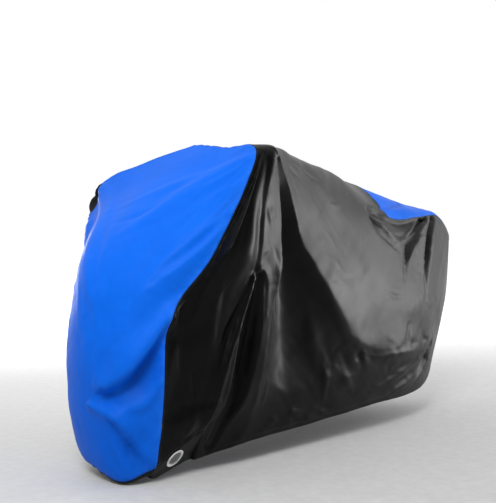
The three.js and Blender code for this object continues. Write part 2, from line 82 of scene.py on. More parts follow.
# Rows between the named levels, from the hem up to the ridge, and columns between the stations
LEVELS = ("hem", "fold", "low", "mid", "high", "shoulder", "ridge")
SHOULDER = 5
ROWS_PER_LEVEL = (14, 10, 30, 36, 44, 24, 26)
COLUMNS_PER_STATION = (42, 36, 34, 26, 20, 16, 20, 20, 14, 10)
REAR_STATION = 6        # the blue rear panel starts here, above the shoulder
STRIP_STATION = 1       # the hem strip ends here on each side

# Left side, a row for each station: x, distance out from the middle plane, height above the floor.
# crown is how far the cloth between shoulder and ridge stands above a straight line, left and right,
# and right holds how far points of the right-hand side lie from their mirrored places.
SIDE = {
    "front seam": dict(hem=(-868, 154, 16), fold=(-882, 205, 56), low=(-874, 230, 240),
         mid=(-864, 254, 548), high=(-738, 335, 765), shoulder=(-610, 402, 1089), ridge=(-498, 0, 1146),
         crown=(6, 14), right=dict(hem=(40, -24, 0), fold=(40, -24, 0), shoulder=(0, 0, -90))),
    "mirror": dict(hem=(-698, 188, 46), fold=(-705, 248, 166), low=(-705, 285, 270),
         mid=(-690, 324, 550), high=(-632, 384, 800), shoulder=(-548, 428, 1098), ridge=(-420, 0, 1134),
         crown=(2, 10), right=dict(shoulder=(0, 0, -90))),
    "fairing": dict(hem=(-480, 240, 79), fold=(-480, 262, 172), low=(-480, 294, 285),
         mid=(-470, 334, 560), high=(-486, 386, 830), shoulder=(-502, 408, 1100), ridge=(-290, 0, 1118),
         crown=(-4, 2), right=dict(shoulder=(0, 0, -70))),
    "tank front": dict(hem=(-220, 256, 89), fold=(-220, 272, 184), low=(-215, 299, 298),
         mid=(-220, 331, 560), high=(-300, 352, 832), shoulder=(-410, 370, 1096), ridge=(-110, 0, 1100),
         crown=(-2, -2), right=dict(shoulder=(0, 0, -56))),
    "tank": dict(hem=(50, 262, 102), fold=(52, 274, 194), low=(55, 298, 305),
         mid=(40, 322, 556), high=(-40, 320, 815), shoulder=(-190, 290, 1069), ridge=(60, 0, 1080),
         crown=(2, 2), right=dict(shoulder=(0, 0, -30))),
    "seat": dict(hem=(300, 262, 114), fold=(303, 272, 204), low=(310, 292, 312),
         mid=(312, 303, 550), high=(270, 282, 795), shoulder=(130, 196, 1035), ridge=(230, 0, 1062),
         crown=(8, 8), right=dict(shoulder=(0, 0, -8))),
    "rear panel": dict(hem=(520, 252, 114), fold=(530, 260, 210), low=(540, 275, 318),
         mid=(560, 277, 545), high=(560, 240, 765), shoulder=(500, 187, 885), ridge=(400, 0, 1045),
         crown=(38, 38)),
    "tail side": dict(hem=(715, 224, 128), fold=(730, 232, 228), low=(745, 242, 330),
         mid=(780, 240, 550), high=(800, 208, 770), shoulder=(780, 170, 888), ridge=(760, 0, 976),
         crown=(10, 10)),
    "tail front corner": dict(hem=(868, 167, 166), fold=(897, 175, 256), low=(930, 178, 350),
         mid=(1006, 170, 552), high=(1050, 142, 775), shoulder=(1020, 118, 893), ridge=(1010, 0, 930),
         crown=(10, 10)),
    "tail rear corner": dict(hem=(955, 100, 200), fold=(985, 114, 286), low=(1015, 120, 370),
         mid=(1096, 116, 556), high=(1162, 96, 750), shoulder=(1178, 80, 812), ridge=(1115, 0, 922),
         crown=(10, 10)),
    "tail middle": dict(hem=(985, 0, 220), fold=(1016, 0, 302), low=(1048, 0, 380),
         mid=(1130, 0, 558), high=(1196, 0, 740), shoulder=(1205, 0, 800), ridge=(1155, 0, 908),
         crown=(8, 8)),
}

# Front, a row for each station between the two front seams: x, distance to the left, height
NOSE = {
    "left quarter": dict(hem=(-905, 78, 24), fold=(-962, 130, 15), low=(-985, 140, 205),
         mid=(-975, 150, 525), high=(-862, 195, 775)),
    "middle": dict(hem=(-900, 0, 62), fold=(-968, 0, 40), low=(-1012, 0, 235),
         mid=(-1010, 0, 520), high=(-925, 0, 775)),
    "right quarter": dict(hem=(-872, -66, 78), fold=(-925, -122, 54), low=(-964, -146, 252),
         mid=(-955, -150, 530), high=(-846, -190, 782)),
}


def fold(on, path, wide, rise, head=1.0, tail=0.2, form="soft", full=0.5, opens=None):
    """A fold on a panel: its path as (station, level) from head to tail, its width on either hand, how
    far it stands out, the shares of both that its head and its tail have, its section, and the place
    along the path where it is fullest. One that opens like a fan has three shares of its width instead:
    at its head, at the second place in OPENS_AT and at its tail."""
    return dict(on=on, path=path, wide=wide, rise=rise, head=head, tail=tail, form=form, full=full,
                opens=opens)


def folds_on(on, rows):
    return [fold(on, *row) for row in rows]


# Main folds, which the solids have too. On the front, stations run from the left seam, 0, to the right, 4.
FOLDS = folds_on("left", [
    # Pleats that fall from the left mirror
    ([(0.3, 4.88), (0.33, 4.6), (0.36, 4.34), (0.37, 4.1), (0.36, 3.9), (0.38, 3.6), (0.42, 3.2)],
     (26, 200), 40, 0.15, 0.2, "soft", 0.6),
    ([(0.48, 4.8), (0.66, 4.4), (0.88, 4.05), (0.98, 3.6), (1.02, 3.0)], (40, 50), 4, 0.4, 0.3),
    ([(0.6, 4.86), (0.8, 4.55), (1.15, 4.26), (1.34, 4.0), (1.42, 3.75), (1.5, 3.5)],
     (50, 32), -11, 0.3, 0.8, "soft", 0.5, (0.9, 1, 1)),
    ([(1.7, 4.86), (2.15, 4.56), (2.37, 4.22), (2.43, 3.86), (2.52, 3.5), (2.56, 3.1),
      (2.64, 2.65), (2.76, 2.1), (2.85, 1.4), (2.95, 0.4)],
     (110, 190), -72, 0.15, 0.1, "bent", 0.66, (0.1, 0.4, 2.5)),
    ([(1.78, 4.84), (2.24, 4.59), (2.71, 4.16), (3.0, 3.75), (3.46, 3.18), (4.2, 2.3)],
     (80, 260), 18, 0.3, 0.4, "soft", 0.7),
    # The arch-shaped pocket, its lip and the hollows by the front seam
    ([(1.66, 3.42), (1.68, 3.05), (1.67, 2.6), (1.58, 2.0), (1.4, 1.1), (1.25, 0.3)],
     (54, 60), -38, 0.5, 0.25, "flat", 0.4),
    ([(1.5, 3.46), (1.34, 2.85), (1.17, 2.42), (1.05, 1.9), (0.98, 1.4), (0.95, 0.9)],
     (50, 36), 20, 0.4, 0.3),
    ([(0.02, 3.1), (0.06, 2.8), (0.04, 2.4), (0.02, 2.1)], (50, 55), 16, 0.4),
    ([(0.1, 1.75), (0.45, 1.72), (0.85, 1.72), (1.05, 1.85)], (80, 45), 12, 0.6, 0.6),
    ([(3.05, 2.9), (3.2, 2.5), (3.4, 1.9)], (50, 50), 4, 0.1, 0.2),
    # The tail's pocket, pleats and lower edge
    ([(5.66, 4.86), (5.3, 4.5), (5.2, 4.2), (5.5, 3.9)], (22, 110), -26, 0.8, 0.3),
    ([(5.75, 4.8), (6.2, 4.84), (6.7, 4.87), (7.1, 4.9)], (50, 20), -12, 0.6, 0.4),
    ([(7.05, 4.9), (6.5, 4.42), (6.08, 4.02), (5.8, 3.6), (5.65, 3.2)],
     (20, 60), -30, 0.7, 0.1, "soft", 0.35),
    ([(7.55, 4.92), (7.1, 4.32), (6.85, 3.85), (6.65, 3.4), (6.6, 2.9)],
     (20, 60), -32, 0.7, 0.1, "soft", 0.4),
    ([(5.95, 5.3), (6.4, 5.55), (6.8, 5.9), (6.95, 6.6), (6.9, 7)], (40, 18), -14, 0.5, 0.6),
    ([(4.2, 2.4), (5.0, 2.14), (5.7, 2.0), (6.7, 1.8)], (70, 150), 10, 0.4, 0.6),
    ([(7.2, 1.85), (6.83, 1.2), (6.3, 0.5)], (45, 45), -16, 0.5),
]) + folds_on("front", [
    # The front's overhang, its crumpled pocket and the rays from the mirrors
    ([(0, 3.06), (0.36, 2.8), (0.8, 2.56), (1.3, 2.4)], (110, 34), 28, 0.7, 0.5),
    ([(0, 2.8), (0.4, 2.54), (0.8, 2.38), (1.36, 2.26)], (36, 80), -22, 0.7, 0.5),
    ([(1.75, 2.14), (1.14, 2.1), (0.8, 1.94), (0.1, 1.2)], (60, 40), 24, 0.5, 0.4, "tent"),
    ([(1.15, 1.95), (0.75, 1.66), (0.35, 1.25)], (40, 80), -30, 0.6, 0.4, "tent"),
    ([(0.2, 4.84), (0.96, 4.64), (1.5, 4.32), (1.9, 4.12)], (70, 60), 12, 0.4),
    ([(0.06, 4.7), (0.46, 4.24), (0.74, 3.72), (1.02, 3.2)], (70, 60), 12, 0.4),
    ([(0.05, 4.4), (0.32, 3.84), (0.74, 3.2), (1.32, 2.8)], (60, 60), 10, 0.4),
    ([(3.95, 4.86), (3.3, 4.42), (2.75, 4.05), (2.4, 3.5), (2.25, 3.0)], (45, 110), 12, 0.6),
    ([(3.85, 4.8), (2.7, 4.2), (2.0, 3.6), (1.6, 3.0)], (60, 60), 10, 0.8),
    ([(3.3, 3.75), (3.35, 3.4), (3.4, 3.0)], (80, 80), -22, 0.6, 0.6),
    ([(3.4, 1.8), (3.5, 1.4), (3.5, 1.0)], (80, 80), -12, 0.6, 0.4),
]) + folds_on("right", [
    # The right-hand side
    ([(0, 4.96), (0, 4.8), (0, 4.66), (0, 4.52)], (14, 70), -36, 0.5, 0.1),
    ([(0.4, 4.86), (0.3, 4.7), (0.2, 4.54), (0.1, 4.42)], (60, 18), 22, 0.3, 0.4),
    ([(0, 4.5), (0, 4.3), (0, 4.1)], (75, 75), 18, 0.3, 0.6),
    ([(0, 2.4), (0, 1.8), (0, 1.2)], (85, 85), -30, 0.3, 0.3),
    ([(0.5, 4.8), (0.55, 4.2), (0.65, 3.5), (0.7, 2.6)], (60, 70), -20, 0.3),
    ([(0.8, 4.85), (1.3, 4.2), (1.6, 3.3), (1.6, 2.2), (1.5, 1.2)], (75, 85), 24, 0.3),
    ([(1.4, 4.8), (2.2, 4.2), (2.6, 3.4), (2.7, 2.4)], (240, 40), -34, 0.2),
    ([(1.9, 4.8), (2.8, 4.1), (3.4, 3.2), (3.9, 2.4)], (170, 80), 18, 0.3),
    ([(2.3, 2.4), (2.5, 1.8), (2.6, 1.0)], (60, 60), 14, 0.6),
    ([(5.4, 4.7), (5.3, 4.1), (5.6, 3.6)], (80, 24), -16, 0.6),
    ([(7.3, 4.9), (6.9, 4.1), (6.7, 3.0)], (80, 26), -16, 0.3),
    ([(7.7, 4.9), (7.4, 3.9), (7.2, 3.0)], (70, 24), -13, 0.3),
])

# Finer creases on top of them
CREASES = folds_on("left", [
    # Below the left mirror
    ([(0.68, 3.5), (0.78, 3.2), (0.83, 2.92), (0.82, 2.4)], (34, 38), 6, 0.3),
    ([(0.6, 2.4), (0.64, 2.04)], (13, 14), -7),
    ([(0.34, 2.05), (0.7, 1.98), (1.0, 1.98)], (16, 18), -7, 0.4, 0.6),
    # The arch-shaped pocket
    ([(1.5, 3.46), (1.43, 3.25), (1.34, 2.85), (1.17, 2.42), (1.05, 1.9), (0.97, 1.2)],
     (28, 20), 8, 0.5, 0.4, "tent"),
    ([(1.4, 3.3), (1.28, 2.97), (1.12, 2.5), (0.98, 1.9)], (32, 16), -9, 0.4),
    ([(1.5, 3.44), (1.6, 3.53), (1.72, 3.52), (1.84, 3.42), (1.93, 3.28), (1.98, 2.9)],
     (12, 34), 7, 0.6, 0.3, "tent"),
    ([(3.05, 3.0), (3.27, 2.52), (3.6, 1.9)], (60, 60), 4, 0.1, 0.3),
    # Along the top
    ([(3.1, 4.9), (3.67, 4.8), (4.1, 4.7)], (14, 22), -4, 0.5),
    ([(2.2, 4.84), (2.9, 4.74), (3.5, 4.56)], (14, 24), -4, 0.5),
    # The tail's pocket, flap and marks
    ([(5.35, 4.34), (5.45, 4.16), (5.5, 3.96)], (14, 20), -5, 0.6),
    ([(5.5, 3.92), (5.98, 4.12), (6.45, 4.34), (6.88, 4.58), (7.28, 4.86)],
     (30, 34), 8, 0.4, 0.6, "tent"),
    ([(5.0, 3.14), (5.3, 3.03), (5.6, 3.0)], (26, 14), -5, 0.4),
    ([(5.2, 1.86), (5.9, 1.84), (6.72, 1.76)], (14, 16), -5),
    ([(5.84, 2.5), (5.76, 1.96)], (16, 18), -6),
    # The lower side, below the smooth plane
    ([(4.35, 2.17), (4.85, 2.0), (5.31, 1.92), (5.81, 1.9), (6.65, 1.8)],
     (24, 30), 6, 0.3, 0.3, "tent"),
    ([(4.05, 2.33), (4.25, 2.13), (4.4, 1.9)], (30, 28), -5, 0.4, 0.3),
    ([(3.81, 2.27), (3.96, 2.07), (4.1, 1.8)], (30, 28), -4, 0.4, 0.3),
    ([(4.8, 0.64), (5.38, 0.93), (5.88, 1.2), (6.45, 1.5)], (30, 40), 7, 0.3, 0.5),
    ([(5.31, 0.21), (5.88, 0.5), (6.55, 0.79)], (26, 32), 6, 0.3, 0.5),
    ([(3.46, 2.1), (3.54, 1.7), (3.58, 0.93)], (30, 30), 5, 0.3, 0.4),
    ([(3.69, 2.03), (4.0, 1.6), (4.25, 0.93)], (30, 34), 5, 0.3, 0.4),
]) + folds_on("front", [
    # The front's overhang and its crumpled pocket
    ([(0, 3.04), (0.36, 2.78), (0.8, 2.54), (1.26, 2.4)], (46, 16), 11, 0.6, 0.5, "tent"),
    ([(1.76, 2.14), (1.31, 2.17), (1.06, 2.1)], (24, 24), 10, 0.5, 0.6, "tent"),
    ([(1.7, 2.3), (1.44, 2.28), (1.12, 2.31), (0.76, 2.37)], (18, 18), -9, 0.4, 0.4, "tent"),
    ([(1.12, 2.1), (0.79, 1.9), (0.46, 1.6), (0.14, 1.2)], (30, 22), 10, 0.6, 0.4, "tent"),
    ([(0.1, 2.33), (0.42, 2.17), (0.84, 2.17)], (30, 26), 9, 0.6, 0.3, "tent"),
    ([(0.9, 1.5), (0.6, 1.26), (0.3, 1.1)], (18, 18), -6, 0.4),
    ([(1.46, 1.88), (1.22, 1.56), (0.88, 1.2)], (28, 28), -7, 0.4),
    # The rays from the mirrors over the front
    ([(2.9, 4.36), (1.92, 4.52), (1.28, 4.68), (0.2, 4.88)], (40, 40), 5, 0.3, 0.4),
    ([(0.29, 4.76), (0.79, 4.57), (1.19, 4.36), (1.54, 4.23)], (20, 26), 4, 0.6),
    ([(0.17, 4.77), (0.5, 4.5), (0.71, 4.2), (0.88, 4.05)], (20, 26), 5, 0.6, 0.2, "tent"),
    ([(0.05, 4.43), (0.5, 4.09), (0.79, 3.83), (0.88, 3.44)], (24, 28), 5, 0.6),
    ([(3.75, 4.84), (2.65, 4.3), (2.08, 4.11), (1.8, 3.7)], (24, 40), 5, 0.6, 0.2, "tent"),
    ([(1.96, 3.97), (1.7, 3.47), (1.65, 3.08)], (20, 34), 5, 0.4),
    ([(0.12, 4.84), (0.54, 4.68), (1.0, 4.55), (1.23, 4.41)], (14, 36), 5, 0.5, 0.3, "tent"),
    ([(0.08, 4.66), (0.46, 4.52), (0.71, 4.43), (0.96, 4.25)], (14, 36), 5, 0.5, 0.3, "tent"),
    ([(0.21, 4.5), (0.38, 4.32), (0.71, 4.11), (0.92, 3.97)], (14, 36), 5, 0.5, 0.3, "tent"),
    ([(0.12, 4.2), (0.33, 3.94), (0.54, 3.69), (0.83, 3.44)], (16, 36), 6, 0.5, 0.3, "tent"),
    ([(2.31, 4.23), (1.92, 4.3), (1.65, 4.36), (1.4, 4.5)], (30, 18), -5, 0.4, 0.3),
])

# Short, shallow creases strewn over the cloth: how many, and the last station on each patch
STREWN = {"left": (130, 7.2), "right": (130, 7.2), "front": (46, 3.9)}
STREWN_SEED = 11
STREWN_START = ((0.2, 0.5), 4.6)  # first station and lowest level where one starts, and highest level
STREWN_STOP = ((0.15, 0.3), 4.7)  # and the same for where one may go
STREWN_LENGTH = (80, 220)
STREWN_WIDTH = (15, 27)  # on either hand
STREWN_RISE = (1.2, 3.0)
STREWN_TURN = 0.4  # scatter of the direction, in radians
STREWN_BEND = 0.2  # and of the bend in the middle
STREWN_END = 0.2  # share of width and rise at both ends
MIRROR = (0.3, 5.2)  # station and level of a mirror, from which they point away
FRONT_MIDDLE = 2.0  # the front's middle station, as far from either mirror
CELL = np.array((290, 210))  # how long one station and one level are on the cover


def strewn_creases():
    """Short, shallow creases all over the slack cloth, most of them pointing away from the mirrors."""
    chance = np.random.default_rng(STREWN_SEED)
    (first, lowest), highest = STREWN_START
    least, top = STREWN_STOP
    rows = []
    for on, (count, last) in STREWN.items():
        for _ in range(count):
            start = np.array((chance.uniform(first, last), chance.uniform(lowest, highest)))
            mirror = MIRROR
            if on == "front":
                mirror = (FRONT_MIDDLE * (1 + np.sign(start[0] - FRONT_MIDDLE)), MIRROR[1])
            along, up = (start - mirror) * CELL
            way = np.arctan2(up, along) + chance.normal(0, STREWN_TURN)
            half = chance.uniform(*STREWN_LENGTH) / 2 / CELL
            turns = way + chance.normal(0, STREWN_BEND, 2)
            moves = np.stack([np.cos(turns), np.sin(turns)], axis=1) * half
            stops = np.clip([start, start + moves[0], start + moves.sum(axis=0)], least, (last, top))
            rise = chance.choice((-1, 1)) * chance.uniform(*STREWN_RISE)
            form = str(chance.choice(("soft", "tent")))
            wide = tuple(chance.uniform(*STREWN_WIDTH, 2))
            rows.append(fold(on, stops.tolist(), wide, rise, STREWN_END, STREWN_END, form))
    return rows


FOLD_STEPS = 48         # pieces of a fold's path
OPENS_AT = (0, 0.4, 1)  # places along the path where a fan's shares of the width hold
UNEVEN = dict(share=0.15, turns=5, shift=2.4)  # how a fold's rise wavers along its path, row by row
BEND = 0.3              # share of the width that is rounded in the middle of a bent fold

# Height of a fold's section from its middle, 0, to its edge, 1
SECTIONS = {
    "soft": lambda near: 0.5 * (1 + np.cos(np.pi * near)),
    "tent": lambda near: 1 - near,
    "bent": lambda near: 1 - (np.hypot(near, BEND) - BEND) / (np.hypot(1, BEND) - BEND),
    "flat": lambda near: 0.5 * (1 + np.cos(np.pi * np.clip(near * 2 - 1, 0, 1))),
}

# Slight waves all over the cloth: length of a wave, rise, and the direction it runs in
WAVE_SWAY = 1.5
WAVES = [
    dict(length=310, rise=0.9, along=(0.8, 0.3, 0.5)),
    dict(length=190, rise=0.6, along=(-0.5, 0.4, 0.8)),
    dict(length=120, rise=0.4, along=(0.9, -0.6, -0.3)),
    dict(length=83, rise=0.28, along=(0.3, 0.5, -0.9)),
    dict(length=57, rise=0.18, along=(0.7, 0.2, 0.7)),
]


def through(points, t):
    """Curve through a row of points with even steps; t counts the points, and a row comes back for each."""
    points = np.asarray(points, float)
    t = np.asarray(t, float)
    ends = np.concatenate([[2 * points[0] - points[1]], points, [2 * points[-1] - points[-2]]])
    i = np.clip(np.floor(t).astype(int), 0, len(points) - 2)
    f = (t - i).reshape((-1,) + (1,) * (points.ndim - 1))
    a, b, c, d = (ends[i + k] for k in range(4))
    return b + 0.5 * f * (c - a + f * (2 * a - 5 * b + 4 * c - d + f * (3 * (b - c) + d - a)))


def steps(parts):
    """The whole numbers from 0, each gap split into so many parts."""
    return np.concatenate([i + np.arange(n) / n for i, n in enumerate(parts)] + [[len(parts)]])


def smoothstep(value, start, end):
    t = np.clip((value - start) / (end - start), 0, 1)
    return t * t * (3 - 2 * t)


def unit(vectors):
    return vectors / np.maximum(np.linalg.norm(vectors, axis=-1, keepdims=True), 1e-9)


ROW_LEVELS = steps(ROWS_PER_LEVEL)
SHOULDER_ROW = sum(ROWS_PER_LEVEL[:SHOULDER])
STRIP_ROW = ROWS_PER_LEVEL[0]
STATIONS = steps(COLUMNS_PER_STATION)
REAR_COLUMN = sum(COLUMNS_PER_STATION[:REAR_STATION])
STRIP_COLUMN = sum(COLUMNS_PER_STATION[:STRIP_STATION])


def side_table(sign):
    """Points by station and level, with one station beyond the tail's middle."""
    table = []
    for row in SIDE.values():
        across = [np.array(row[level], float) * (1, sign, 1) for level in LEVELS]
        if sign > 0:
            for level, shift in row.get("right", {}).items():
                across[LEVELS.index(level)] += shift
        crown = (across[SHOULDER] + across[-1]) / 2 + (0, 0, row["crown"][int(sign > 0)])
        table.append(across[:-1] + [crown] + across[-1:])
    beyond = np.array(table[-2]) * (1, -1, 1)
    return np.array(table + [beyond])


def on_side(sign, stations, levels):
    """Grid of points on a side's smooth form."""
    along = through(side_table(sign), stations)
    return through(along.swapaxes(0, 1), levels).swapaxes(0, 1)


def top_edge(spans):
    """Top edge of the front panel, from the left mirror, 0, over the ridge, 2, to the right one, 4."""
    climbs = np.minimum(spans, 4 - spans) + SHOULDER
    left_edge = on_side(-1, [0], climbs)[0]
    right_edge = on_side(1, [0], climbs)[0]
    return np.where((spans < 2)[:, None], left_edge, right_edge)


def on_front(spans, levels):
    """Grid of points on the front's smooth form, which meets both seams and the top edge."""
    spans = np.asarray(spans, float)
    levels = np.asarray(levels, float)
    tops = top_edge(np.array([1.0, 2.0, 3.0]))

    def curve(heights):
        rows = [on_side(-1, [0], heights)[0]]
        for row, top in zip(NOSE.values(), tops):
            below = [np.array(row[level], float) * (1, -1, 1) for level in LEVELS[:SHOULDER]]
            rows.append(through(below + [top], heights))
        rows.append(on_side(1, [0], heights)[0])
        return through(np.array(rows), spans)

    join = smoothstep(levels, SHOULDER - 1, SHOULDER)[None, :, None]
    return curve(levels) + join * (top_edge(spans)[:, None] - curve([SHOULDER]))


ON_COVER = {
    "left": lambda station, level: on_side(-1, [station], [level])[0, 0],
    "right": lambda station, level: on_side(1, [station], [level])[0, 0],
    "front": lambda span, level: on_front([span], [level])[0, 0],
}


class Surface:
    """The cover's middle surface: points that are each stored once, and the grids that count them."""

    def __init__(self):
        front_levels = ROW_LEVELS[:SHOULDER_ROW + 1]
        half = ROW_LEVELS[SHOULDER_ROW:] - SHOULDER
        spans = np.concatenate([half, 4 - half[-2::-1]])
        sheets = [on_side(-1, STATIONS, ROW_LEVELS), on_side(1, STATIONS, ROW_LEVELS),
                  on_front(spans, front_levels)]
        self.points = np.concatenate([sheet.reshape(-1, 3) for sheet in sheets])
        counts = np.arange(len(self.points))
        grids = []
        for sheet in sheets:
            size = sheet.shape[0] * sheet.shape[1]
            grids.append(counts[:size].reshape(sheet.shape[:2]))
            counts = counts[size:]
        self.left, self.right, self.front = grids
        self.right[:, -1] = self.left[:, -1]
        self.right[-1] = self.left[-1]
        self.front[0] = self.left[0, :SHOULDER_ROW + 1]
        self.front[-1] = self.right[0, :SHOULDER_ROW + 1]
        middle = len(half) - 1
        self.front[:middle + 1, -1] = self.left[0, SHOULDER_ROW:]
        self.front[middle:, -1] = self.right[0, SHOULDER_ROW:][::-1]
        self.panels = self.cut_panels()
        self.cells = np.concatenate([cell for cell, _ in self.panels.values()])
        self.lift = np.zeros(len(self.points))

    def cut_panels(self):
        """Four-sided cells of each panel, facing out, with the cloth's own flat coordinates."""
        columns, rows = np.indices((len(STATIONS) - 1, len(ROW_LEVELS) - 1))
        in_rear = (columns >= REAR_COLUMN) & (rows >= SHOULDER_ROW)
        in_strip = (columns < STRIP_COLUMN) & (rows < STRIP_ROW)
        front_rows = np.indices((self.front.shape[0] - 1, SHOULDER_ROW))[1]
        sides = {"left": (self.left, False), "right": (self.right, True)}
        rear = [self.cells_of(grid, flip, in_rear) for grid, flip in sides.values()]
        strip = [self.cells_of(grid, flip, in_strip) for grid, flip in sides.values()]
        strip.append(self.cells_of(self.front, True, front_rows < STRIP_ROW))
        panels = {"front_panel": [self.cells_of(self.front, True, front_rows >= STRIP_ROW)]}
        for name, (grid, flip) in sides.items():
            panels["side_panel_" + name] = [self.cells_of(grid, flip, ~in_rear & ~in_strip)]
        panels["rear_panel"] = rear
        panels["front_hem_strip"] = strip
        return {name: [np.concatenate(part) for part in zip(*parts)] for name, parts in panels.items()}

    def cells_of(self, grid, flip, keep):
        at = self.points[grid]
        across = np.linalg.norm(np.diff(at, axis=0), axis=2).mean(axis=1)
        up = np.linalg.norm(np.diff(at, axis=1), axis=2)
        flat = np.zeros(grid.shape + (2,))
        flat[1:, :, 0] = np.cumsum(across)[:, None]
        flat[:, 1:, 1] = np.cumsum(up, axis=1)
        corners = [(slice(0, -1), slice(0, -1)), (slice(1, None), slice(0, -1)),
                   (slice(1, None), slice(1, None)), (slice(0, -1), slice(1, None))]
        if flip:
            corners = corners[::-1]
        cells = np.stack([grid[corner] for corner in corners], axis=-1)[keep]
        flats = np.stack([flat[corner] for corner in corners], axis=-2)[keep]
        return cells, flats

    def normals(self):
        a, b, c, d = (self.points[self.cells[:, k]] for k in range(4))
        normal = np.cross(c - a, d - b)
        total = np.zeros_like(self.points)
        for k in range(4):
            np.add.at(total, self.cells[:, k], normal)
        return unit(total)

    def press(self, folds):
        """Folds push the surface out or in along its own direction."""
        out = self.normals()
        pushes = np.zeros(len(self.points))
        for number, row in enumerate(folds):
            index, push = self.fold_push(row, out, number)
            pushes[index] += push
        self.points += out * pushes[:, None]
        self.lift += pushes

    def fold_push(self, row, out, number):
        """Points within a fold's reach, and how far it pushes each one."""
        stops = np.array(row["path"], float)
        share = np.linspace(0, 1, FOLD_STEPS + 1)
        line = through(stops, share * (len(stops) - 1))
        line = np.array([ON_COVER[row["on"]](max(station, 0), level) for station, level in line])
        reach = max(row["wide"]) * max(row["opens"] or (1,))
        low, high = line.min(axis=0) - reach, line.max(axis=0) + reach
        index = np.nonzero(np.all((self.base > low) & (self.base < high), axis=1))[0]
        gaps = self.base[index, None] - line[None]
        best = np.argmin((gaps ** 2).sum(axis=2), axis=1)
        along = unit(np.gradient(line, axis=0))[best]
        aside = gaps[np.arange(len(index)), best]
        ahead = (aside * along).sum(axis=1)
        inner = (best > 0) & (best < FOLD_STEPS)
        stay = np.where(inner | ((best == 0) & (ahead > 0)) | ((best == FOLD_STEPS) & (ahead < 0)), ahead, 0)
        distance = np.linalg.norm(aside - along * stay[:, None], axis=1)
        hand = (aside * np.cross(out[index], along)).sum(axis=1)
        step = np.linalg.norm(np.gradient(line, axis=0), axis=1)[best]
        gone = np.clip((best + stay / step) / FOLD_STEPS, 0, 1)
        ease = smoothstep(np.interp(gone, (0, row["full"], 1), (0, 1, 0)), 0, 1)
        end = np.where(gone < row["full"], row["head"], row["tail"])
        grown = end + (1 - end) * ease
        spread = np.where(gone < row["full"], grown, np.sqrt(grown))
        if row["opens"]:
            spread = np.interp(gone, OPENS_AT, row["opens"])
        near = np.minimum(distance / (np.where(hand < 0, *row["wide"]) * spread), 1)
        wave = np.sin(UNEVEN["turns"] * gone + UNEVEN["shift"] * number)
        uneven = 1 + UNEVEN["share"] * wave
        return index, row["rise"] * grown * uneven * SECTIONS[row["form"]](near)

    def ripple(self):
        """Slight waves all over, and puckers along the seams."""
        out = self.normals()
        waves = np.zeros(len(self.points))
        for wave in WAVES:
            phase = self.base @ unit(np.array(wave["along"])) * (2 * math.pi / wave["length"])
            bend = np.sin(self.base @ np.array(wave["along"])[::-1] * (math.pi / wave["length"]))
            waves += wave["rise"] * np.sin(phase + WAVE_SWAY * bend)
        phase = self.base @ np.array(PUCKER_TURNS)
        sway, pace = PUCKER_SWAY
        near = np.exp(-self.seam_distance() / PUCKER_REACH)
        pucker = PUCKER_RISE * np.sin(phase + sway * np.sin(pace * phase)) * near
        self.points += out * (waves + pucker)[:, None]

    def seam_distance(self):
        """How far each point lies from the nearest seam."""
        seams = np.unique(np.concatenate([
            self.left[0, STRIP_ROW:], self.right[0, STRIP_ROW:], self.left[:REAR_COLUMN + 1, -1],
            self.left[REAR_COLUMN:, SHOULDER_ROW], self.right[REAR_COLUMN:, SHOULDER_ROW],
            self.left[REAR_COLUMN, SHOULDER_ROW:], self.right[REAR_COLUMN, SHOULDER_ROW:],
            self.left[-1, :SHOULDER_ROW + 1], self.front[:, STRIP_ROW],
            self.left[:STRIP_COLUMN + 1, STRIP_ROW], self.right[:STRIP_COLUMN + 1, STRIP_ROW],
        ]))
        return distances(self.points, self.points[seams])

    def flatten_pads(self, eyelets):
        """Cloth round an eyelet lies flat on one plane."""
        for grid, (at, normal) in zip((self.left, self.right), eyelets):
            index = np.unique(grid[:STRIP_COLUMN + 1, :STRIP_ROW + 1])
            away = self.points[index] - at
            flat = 1 - smoothstep(np.linalg.norm(away, axis=1), PAD_REACH, PAD_FADE)
            self.points[index] -= normal * (flat * (away @ normal))[:, None]


def distances(points, targets):
    tree = KDTree(len(targets))
    for k, target in enumerate(targets):
        tree.insert(target, k)
    tree.balance()
    return np.array([tree.find(point)[2] for point in points])


def eyelet_places():
    """Middle and outward direction of the left and the right eyelet."""
    places = []
    for sign, (station, level) in EYELET_AT.items():
        at = on_side(sign, [station], [level])[0, 0]
        along = on_side(sign, [station + 0.2], [level])[0, 0] - at
        ends = on_side(sign, [station], [0, 1])[0]
        places.append((at, unit(-sign * np.cross(along, ends[1] - ends[0]))))
    return places


def shape_cover(eyelets):
    surface = Surface()
    surface.base = surface.points.copy()
    surface.press(FOLDS)
    surface.press(CREASES + strewn_creases())
    surface.ripple()
    surface.flatten_pads(eyelets)
    return surface


def to_frame(points):
    return (np.asarray(points) - RIDGE_POINT) * MM


def free_edges(cells):
    """Directed edges that only one cell has."""
    edges = {}
    for k in range(4):
        for a, b in zip(cells[:, k].tolist(), cells[:, (k + 1) % 4].tolist()):
            if edges.pop((b, a), None) is None:
                edges[(a, b)] = True
    return list(edges)


def chains(edges):
    """Directed edges put end to end, as closed rings of points."""
    after = dict(edges)
    rings = []
    while after:
        start, at = after.popitem()
        ring = [start]
        while at != start:
            ring.append(at)
            at = after.pop(at)
        rings.append(ring)
    return rings


def new_object(name, vertices, faces, material):
    mesh = bpy.data.meshes.new(name)
    mesh.from_pydata([tuple(v) for v in vertices], [], [tuple(f) for f in faces])
    mesh.materials.append(material)
    mesh.shade_smooth()
    piece = bpy.data.objects.new(name, mesh)
    bpy.context.scene.collection.objects.link(piece)
    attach(piece, "root")
    return piece


